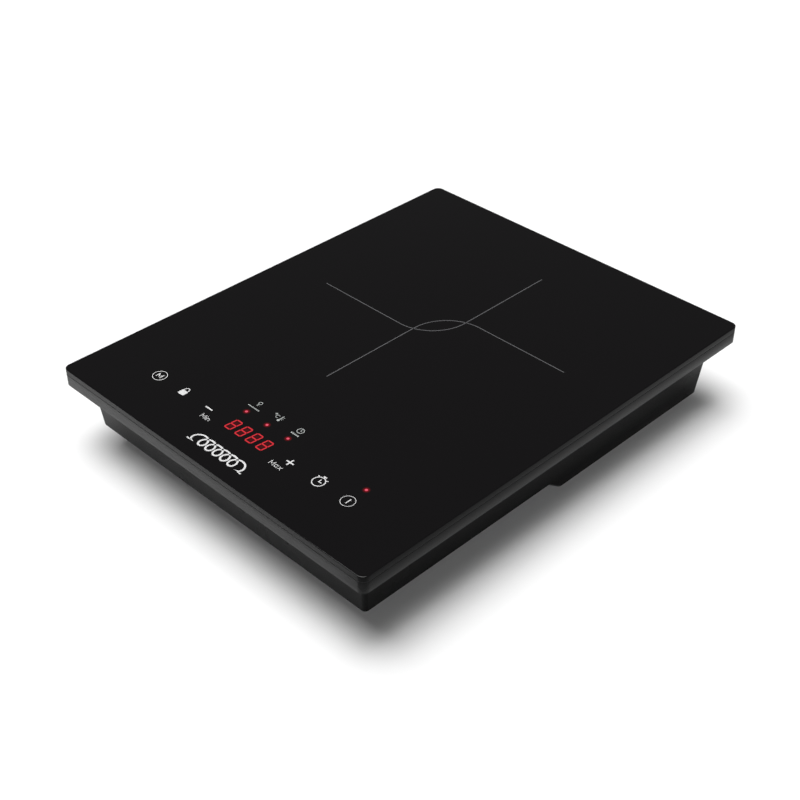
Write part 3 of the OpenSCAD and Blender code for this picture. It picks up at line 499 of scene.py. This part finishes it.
class Print:
    """Flat shapes of ink, gathered into one mesh. Places are in millimetres from the middle of the glass."""

    def __init__(self):
        self.points = []
        self.faces = []
        self.low = print_low
        self.high = ink_top

    def patch(self, outline):
        """Filled shape inside an outline that runs anticlockwise."""
        start = len(self.points)
        count = len(outline)
        for z in (self.low, self.high):
            self.points += [(p[0] * MM, p[1] * MM, z) for p in outline]
        self.faces.append(tuple(range(start + count - 1, start - 1, -1)))
        self.faces.append(tuple(range(start + count, start + 2 * count)))
        for k in range(count):
            after = (k + 1) % count
            self.faces.append((start + k, start + after, start + count + after, start + count + k))

    def stroke(self, line, width, closed=False):
        """Band of even width along a line of points."""
        line = [Vector(p) for p in line]
        count = len(line)
        left = []
        right = []
        for i, p in enumerate(line):
            ways = []
            if closed or i > 0:
                ways.append((p - line[i - 1]).normalized())
            if closed or i < count - 1:
                ways.append((line[(i + 1) % count] - p).normalized())
            along = sum(ways, Vector((0, 0))).normalized()
            side = Vector((-along.y, along.x)) * (width / 2 / max(along.dot(ways[0]), 0.35))
            left.append(p + side)
            right.append(p - side)
        start = len(self.points)
        for z in (self.low, self.high):
            for edge in (left, right):
                self.points += [(p.x * MM, p.y * MM, z) for p in edge]
        low_left, low_right, high_left, high_right = (start + k * count for k in range(4))
        for i in range(count if closed else count - 1):
            j = (i + 1) % count
            self.faces.append((high_right + i, high_right + j, high_left + j, high_left + i))
            self.faces.append((low_left + i, low_left + j, low_right + j, low_right + i))
            self.faces.append((high_left + i, high_left + j, low_left + j, low_left + i))
            self.faces.append((low_right + i, low_right + j, high_right + j, high_right + i))
        if not closed:
            last = count - 1
            self.faces.append((low_left, low_right, high_right, high_left))
            self.faces.append((high_left + last, high_right + last, low_right + last, low_left + last))

    def ring(self, x, y, outer_d, width, steps=48):
        middle = (outer_d - width) / 2
        self.stroke(circle(x, y, middle, steps), width, closed=True)

    def bar(self, x0, y0, x1, y1):
        self.patch([(x0, y0), (x1, y0), (x1, y1), (x0, y1)])

    def disc(self, x, y, d, steps=24):
        self.patch(circle(x, y, d / 2, steps))

    def add(self, name, finish, slot_name):
        mesh = bpy.data.meshes.new(name)
        mesh.from_pydata(self.points, [], self.faces)
        add_piece(name, mesh, finish)


def letter(ink_shapes, kind, x, y, w, h, t):
    """One plain capital or small letter, drawn in strokes. x and y are its lower left corner."""
    low_h = h * 0.72
    mid = t / 2
    if kind == "M":
        ink_shapes.stroke([(x + mid, y), (x + mid, y + h - mid), (x + w / 2, y + h * 0.3),
                           (x + w - mid, y + h - mid), (x + w - mid, y)], t)
    if kind == "i":
        ink_shapes.bar(x, y, x + t, y + low_h)
        ink_shapes.bar(x, y + h - t, x + t, y + h)
    if kind == "n":
        ink_shapes.bar(x, y, x + t, y + low_h)
        r = (w - t) / 2
        ink_shapes.stroke([Vector((x + w - mid, y))] + arc(x + w / 2, y + low_h - mid - r, r, 0, 150, 8), t)
    if kind == "a":
        ink_shapes.ring(x + w / 2, y + low_h / 2, min(w, low_h), t, 20)
        ink_shapes.bar(x + w - t, y, x + w, y + low_h)
    if kind == "x":
        ink_shapes.stroke([(x + mid, y), (x + w - mid, y + low_h)], t)
        ink_shapes.stroke([(x + mid, y + low_h), (x + w - mid, y)], t)


def word(ink_shapes, letters, x, y, h, t):
    """Letters in a row, from x to the right."""
    widths = {"M": 0.95 * h, "i": t, "n": 0.62 * h, "a": 0.72 * h, "x": 0.68 * h}
    for kind in letters:
        letter(ink_shapes, kind, x, y, widths[kind], h, t)
        x += widths[kind] + 0.19 * h


def label_marks(ink_shapes, x0, x1, y, h):
    """Row of small marks where a key's caption stands."""
    pitch = 1.25
    inked = 0.72                        # share of each step that is ink
    count = int((x1 - x0) / pitch)
    for i in range(count):
        start = x0 + (x1 - x0) * i / count
        ink_shapes.bar(start, y, start + (x1 - x0) / count * inked, y + h)


def add_zone_lines():
    """Two crossing lines that mark the cooking zone. Each is straight, with one quarter turn on its way."""
    turn_r = 31
    turn_steps = 24
    width = 0.6
    lines = Print()
    for start, centre, turn, end in (
            ((-95.5, 15.3), (-22.6, 15.3 + turn_r), (-90, 0), (8.4, 126)),
            ((-11.9, -61.6), (-11.9 + turn_r, 18.1), (180, 90), (92.5, 49.1))):
        quarter = arc(centre[0], centre[1], turn_r, turn[0], turn[1], turn_steps)
        lines.stroke([Vector(start)] + quarter + [Vector(end)], width)
    lines.add("zone_lines", GREY_INK, "socket")


def add_key_print():
    """Symbols of the touch fields, from left to right."""
    row = key_row / MM
    keys = Print()
    # memory key
    memory_x = -87.9
    keys.ring(memory_x, row, 10.1, 0.45)
    letter(keys, "M", -90.1, row - 2.0, 4.4, 4.0, 0.62)
    # lock
    lock_x = -63.05
    lock_y = row - 3.5
    keys.patch([(p.x + lock_x, p.y + lock_y + 2.5) for p in rounded_outline(5.2, 4.6, 0.5, 4)])
    keys.stroke([Vector((lock_x + 1.7, lock_y + 5.0))] + arc(lock_x, lock_y + 5.9, 1.7, 0, 180, 14)
                + [Vector((lock_x - 1.7, lock_y + 5.0))], 0.6)
    # minus and plus
    keys.bar(-41.4, row - 0.5, -35.0, row + 0.5)
    plus_x = 37.6
    arm = 2.95
    half = 0.52
    keys.bar(plus_x - arm, row - half, plus_x + arm, row + half)
    keys.bar(plus_x - half, row - arm, plus_x + half, row - half)
    keys.bar(plus_x - half, row + half, plus_x + half, row + arm)
    # their captions
    letter_h = 3.8
    letter_t = 0.38
    word(keys, "Min", -36.3, row - 9.2, letter_h, letter_t)
    word(keys, "Max", 28.4, row - 9.3, letter_h, letter_t)
    # timer
    timer_x = 62.5
    keys.ring(timer_x, row, 8.9, 0.65)
    keys.bar(timer_x - 1.3, row + 4.9, timer_x + 1.3, row + 5.8)
    keys.bar(timer_x - 0.5, row + 4.5, timer_x + 0.5, row + 4.9)
    for side in (-1, 1):
        keys.stroke([(timer_x + side * 3.1, row + 3.1), (timer_x + side * 4.1, row + 4.1)], 0.6)
    keys.stroke([(timer_x, row + 2.3), (timer_x, row), (timer_x + 2.2, row)], 0.65)
    # on and off
    keys.ring(87.2, row, 9.5, 0.34)
    power_x = 87.5
    half = 0.32
    keys.bar(power_x - half, row - 2.3, power_x + half, row + 2.3)
    keys.add("key_print", WHITE_INK, "socket")


def add_function_print():
    """Small symbols over the three lamps, each with its caption marks."""
    marks = Print()
    caption_y = -116.8
    # heating power
    x = -19.4
    y = -111.2
    marks.ring(x, y + 0.9, 2.8, 0.4, 24)
    marks.bar(x - 0.6, y - 1.25, x + 0.6, y - 0.75)
    marks.bar(x - 0.45, y - 2.3, x + 0.45, y - 1.6)
    label_marks(marks, -24.2, -13.6, caption_y, 0.9)
    # temperature: degree sign, C and thermometer
    marks.ring(-4.3, -110.2, 1.6, 0.45, 16)
    marks.stroke(arc(-1.7, -111.6, 1.35, 50, 310, 16), 0.4)
    tube_x = 1.3
    marks.stroke([(tube_x, -109.1), (tube_x, -113.2)], 0.7)
    marks.disc(tube_x, -114.0, 2.0)
    for step in range(3):
        marks.bar(2.2, -110.2 - step * 1.2, 3.0, -109.8 - step * 1.2)
    # time
    x = 19.25
    y = -111.6
    marks.ring(x, y, 5.1, 0.5, 32)
    marks.stroke([(x, -110.0), (x, y), (20.4, y)], 0.4)
    label_marks(marks, 15.8, 22.8, caption_y, 1.1)
    marks.add("function_print", FINE_INK, "socket")


def add_coil_mark():
    """Plain symbol of a wound coil near the front edge: overlapping loops between two straight ends."""
    loops = 6
    pitch = 6.9
    loop_r = 4.1
    centre_y = -159.7
    steps = 28
    half_length = 25.2
    wire_t = 1.25
    line = [Vector((-half_length, centre_y - loop_r))]
    for i in range(loops * steps + 1):
        turn = 2 * math.pi * i / steps
        x = (i / steps - loops / 2) * pitch - loop_r * math.sin(turn)
        line.append(Vector((x, centre_y - loop_r * math.cos(turn))))
    line.append(Vector((half_length, centre_y - loop_r)))
    mark = Print()
    mark.stroke(line, wire_t)
    mark.add("coil_mark", WHITE_INK, "socket")


def segment_outlines(width, height, t, gap):
    """Outlines of the seven bars of a digit, centred on the origin."""
    x = (width - t) / 2
    y = (height - t) / 2
    half = t / 2
    shapes = []
    for level in (-y, 0, y):
        x0 = -x + gap
        shapes.append([(x0, level), (x0 + half, level - half), (-x0 - half, level - half), (-x0, level),
                       (-x0 - half, level + half), (x0 + half, level + half)])
    for side in (-x, x):
        for low, high in ((-y + gap, -gap), (gap, y - gap)):
            shapes.append([(side, low), (side + half, low + half), (side + half, high - half), (side, high),
                           (side - half, high - half), (side - half, low + half)])
    return shapes


def add_digits():
    """Four lit digits, slightly slanted, with the light that spreads around each."""
    middle_x = (display_low.x + display_high.x) / 2 / MM
    middle_y = (display_low.y + display_high.y) / 2 / MM
    pitch = 9.65
    width = 5.9
    height = 10.5
    segment_t = 0.85
    segment_gap = 0.1
    slant = math.tan(math.radians(5.5))
    digits = Print()
    for i in range(4):
        x = middle_x + (i - 1.5) * pitch
        for shape in segment_outlines(width, height, segment_t, segment_gap):
            digits.patch([(x + p[0] + slant * p[1], middle_y + p[1]) for p in shape])
        add_halo(f"digit_light_{i + 1}", x, middle_y, (width * 0.56, height * 0.54), (5.2, 8.6),
                 tone(64, 0, 4), square=True)
    digits.add("digit_segments", RED_GLOW, "display")


def add_halo(name, x, y, half, reach, color, square=False):
    """Thin lit plate under a digit or around a lamp. half is half its size, reach is where its light ends."""
    if square:
        outline = rounded_outline(2 * half[0], 2 * half[1], 0.8, 4)
    else:
        outline = circle(0, 0, half[0], 40)
    high = plate_top + 0.4 * ink_t
    rings = [[Vector((p.x * MM, p.y * MM, z - print_low)) for p in outline] for z in (print_low, high)]
    mesh = closed_mesh(name, rings)
    finish = halo(name, (reach[0] * MM, reach[1] * MM), color)
    mesh.materials.append(finish)
    piece = bpy.data.objects.new(name, mesh)
    piece.location = (x * MM, y * MM, print_low)
    bpy.context.collection.objects.link(piece)
    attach(piece, "base")


def add_lamps():
    """Round red lamps seen through the glass."""
    lamp_xs = [-19.3, 0.1, 19.4, 87.5]
    lamp_d = 1.9
    light_r = 3.0
    y = lamp_row / MM
    lights = Print()
    for i, x in enumerate(lamp_xs):
        lights.disc(x, y, lamp_d)
        add_halo(f"lamp_light_{i + 1}", x, y, (light_r, light_r), (light_r, light_r), tone(130, 0, 12))
    lights.add("lamp_spots", LAMP_GLOW, "lamp")


# ---- fan rotor ----

def add_rotor():
    """Hub with nine swept and twisted blades, in place of the straight CAD blades."""
    hub_r = 17.5 * MM
    wall = 1.5 * MM
    shaft_r = 1.5 * MM
    boss_r = 3.6 * MM
    boss_h = 3.5 * MM
    edge_r = 2.0 * MM
    dish_r = 9.5 * MM
    dish_floor_r = 9.0 * MM
    low = rotor_low.z
    top = rotor_high.z
    roof = top - wall
    dish_z = top - 0.5 * MM
    rounding = []
    for a in range(0, 91, 15):
        lean = math.radians(a)
        rounding.append((hub_r - edge_r + edge_r * math.cos(lean), top - edge_r + edge_r * math.sin(lean)))
    profile = ([(shaft_r, roof - boss_h), (boss_r, roof - boss_h), (boss_r, roof), (hub_r - wall, roof),
                (hub_r - wall, low), (hub_r, low)] + rounding
               + [(dish_r, top), (dish_floor_r, dish_z), (0, dish_z), (0, roof), (shaft_r, roof)])
    add_piece("rotor_hub", lathe("rotor_hub", profile, fan_centre), FINISHES["fan"], body="fan_rotor",
              replaced=["fan_impeller"])
    blades = 9
    root_r = hub_r - 0.4 * MM           # each blade's root is sunk in the hub
    tip_r = 43.3 * MM
    for i in range(blades):
        add_blade(f"rotor_blade_{i + 1}", 360 * i / blades, root_r, tip_r, low + 0.6 * MM, top - 1.6 * MM)


def add_blade(name, place, root_r, tip_r, low, high):
    """One blade: a thin cambered section that turns flatter and leans forward towards the tip."""
    sections = 10
    chord_steps = 10
    camber = 1.3 * MM
    root_pitch = 50                     # degrees
    pitch_loss = 14                     # degrees from root to tip
    tip_sweep = 16                      # degrees
    rise_loss = 0.14
    root_t = 1.5
    t_loss = 0.6
    edge_share = 0.25                   # thickness at the two edges, as a share of the middle's
    rings = []
    for j in range(sections + 1):
        out = j / sections
        r = root_r + (tip_r - root_r) * out
        pitch = math.radians(root_pitch - pitch_loss * out)
        rise = (high - low) * (1 - rise_loss * out)
        sweep = math.radians(place + tip_sweep * out * out)
        thick = (root_t - t_loss * out) * MM
        upper = []
        lower = []
        for k in range(chord_steps + 1):
            s = k / chord_steps
            z = (low + high) / 2 + (s - 0.5) * rise
            run = (s - 0.5) * rise / math.tan(pitch) + camber * 4 * s * (1 - s)
            half = thick / 2 * (edge_share + (1 - edge_share) * math.sin(math.pi * s) ** 0.5)
            for side, edge in ((1, upper), (-1, lower)):
                along = run + side * half * math.sin(pitch)
                up = min(max(z - side * half * math.cos(pitch), low), high)
                angle = sweep + along / r
                x = fan_centre.x + r * math.cos(angle)
                y = fan_centre.y + r * math.sin(angle)
                edge.append(Vector((x, y, up)))
        rings.append(upper + lower[::-1])
    add_piece(name, closed_mesh(name, rings), FINISHES["fan"], body="fan_rotor", sharp=60)


# ---- edges of the moulded parts ----

def soften(node_name, width):
    """Rounds the hard edges of a CAD node with modifiers."""
    node = frame["nodes"][node_name]
    weld = node.modifiers.new("weld", "WELD")
    weld.merge_threshold = 1e-6
    edges = node.modifiers.new("edges", "BEVEL")
    edges.width = width
    edges.segments = 2
    edges.limit_method = "ANGLE"
    edges.angle_limit = math.radians(CAD_SHARP)
    edges.harden_normals = False
    edges.use_clamp_overlap = True


def smooth_cad():
    """Smooth shading over the curved faces of every CAD node."""
    for node in frame["nodes"].values():
        for face in node.data.polygons:
            face.use_smooth = True
        node.data.set_sharp_from_angle(angle=math.radians(CAD_SHARP))


# ---- surroundings ----

def add_floor():
    """Wide pale floor under the object."""
    reach = 8.0
    steps = 64
    mesh = bpy.data.meshes.new("floor")
    angles = [2 * math.pi * i / steps for i in range(steps)]
    points = [(reach * math.cos(angle), reach * math.sin(angle), 0) for angle in angles]
    mesh.from_pydata(points, [], [tuple(range(steps))])
    made, _, main, _ = shader("floor")
    main.inputs["Base Color"].default_value = (0.86, 0.86, 0.86, 1)
    main.inputs["Roughness"].default_value = 0.9
    main.inputs["Specular IOR Level"].default_value = 0.1
    mesh.materials.append(made)
    floor = bpy.data.objects.new("floor", mesh)
    bpy.context.collection.objects.link(floor)


def add_sun(name, lean, spread_angle, strength):
    """Broad soft light. lean is how far its middle leans to +X and +Y for each metre of height."""
    data = bpy.data.lights.new(name, "SUN")
    data.energy = strength
    data.angle = math.radians(spread_angle)
    light = bpy.data.objects.new(name, data)
    light.rotation_mode = "QUATERNION"
    light.rotation_quaternion = (-Vector((lean[0], lean[1], 1))).to_track_quat("-Z", "Y")
    bpy.context.collection.objects.link(light)
    return light


def add_area(name, place, aim, width, depth, power):
    """Flat panel light with a narrow beam."""
    data = bpy.data.lights.new(name, "AREA")
    data.shape = "RECTANGLE"
    data.size = width
    data.size_y = depth
    data.energy = power
    data.spread = math.radians(15)
    light = bpy.data.objects.new(name, data)
    light.location = place
    light.rotation_mode = "QUATERNION"
    light.rotation_quaternion = (Vector(aim) - Vector(place)).to_track_quat("-Z", "Y")
    bpy.context.collection.objects.link(light)


def add_lights():
    """Soft overhead light, a weak low fill from the front right and a dim room. The backdrop is white."""
    add_sun("left_light", lean=(-0.20, -0.06), spread_angle=46, strength=2.55)
    add_sun("front_light", lean=(0.02, -0.16), spread_angle=36, strength=1.15)
    fill = add_sun("fill_light", lean=(1.5, -1.5), spread_angle=30, strength=0.65)
    fill.visible_glossy = False         # the glass doesn't mirror the fill
    add_area("front_strip", place=(-0.13, -0.285, 0.2), aim=(-0.13, -0.285, 0.0), width=0.44, depth=0.15,
             power=0.42)
    world = bpy.data.worlds.new("room")
    world.use_nodes = True
    bpy.context.scene.world = world
    tree = world.node_tree
    tree.nodes.clear()
    output = tree.nodes.new("ShaderNodeOutputWorld")
    room = tree.nodes.new("ShaderNodeBackground")
    room.inputs["Color"].default_value = (1, 1, 1, 1)
    room.inputs["Strength"].default_value = 0.06
    backdrop = tree.nodes.new("ShaderNodeBackground")
    backdrop.inputs["Color"].default_value = (1, 1, 1, 1)
    backdrop.inputs["Strength"].default_value = 1.0
    path = tree.nodes.new("ShaderNodeLightPath")
    choose = tree.nodes.new("ShaderNodeMixShader")
    tree.links.new(path.outputs["Is Camera Ray"], choose.inputs["Fac"])
    tree.links.new(room.outputs["Background"], choose.inputs[1])
    tree.links.new(backdrop.outputs["Background"], choose.inputs[2])
    tree.links.new(choose.outputs["Shader"], output.inputs["Surface"])
    view = bpy.context.scene.view_settings
    view.view_transform = "Standard"
    view.look = "None"


add_camera()
dress_cad()
smooth_cad()
add_glass()
add_zone_lines()
add_key_print()
add_function_print()
add_coil_mark()
add_digits()
add_lamps()
add_rotor()
soften("upper_housing", 0.5 * MM)
soften("bottom_housing", 0.4 * MM)
for foot in ("foot_front_left", "foot_front_right", "foot_rear_left", "foot_rear_right"):
    soften(foot, 0.4 * MM)
add_floor()
add_lights()
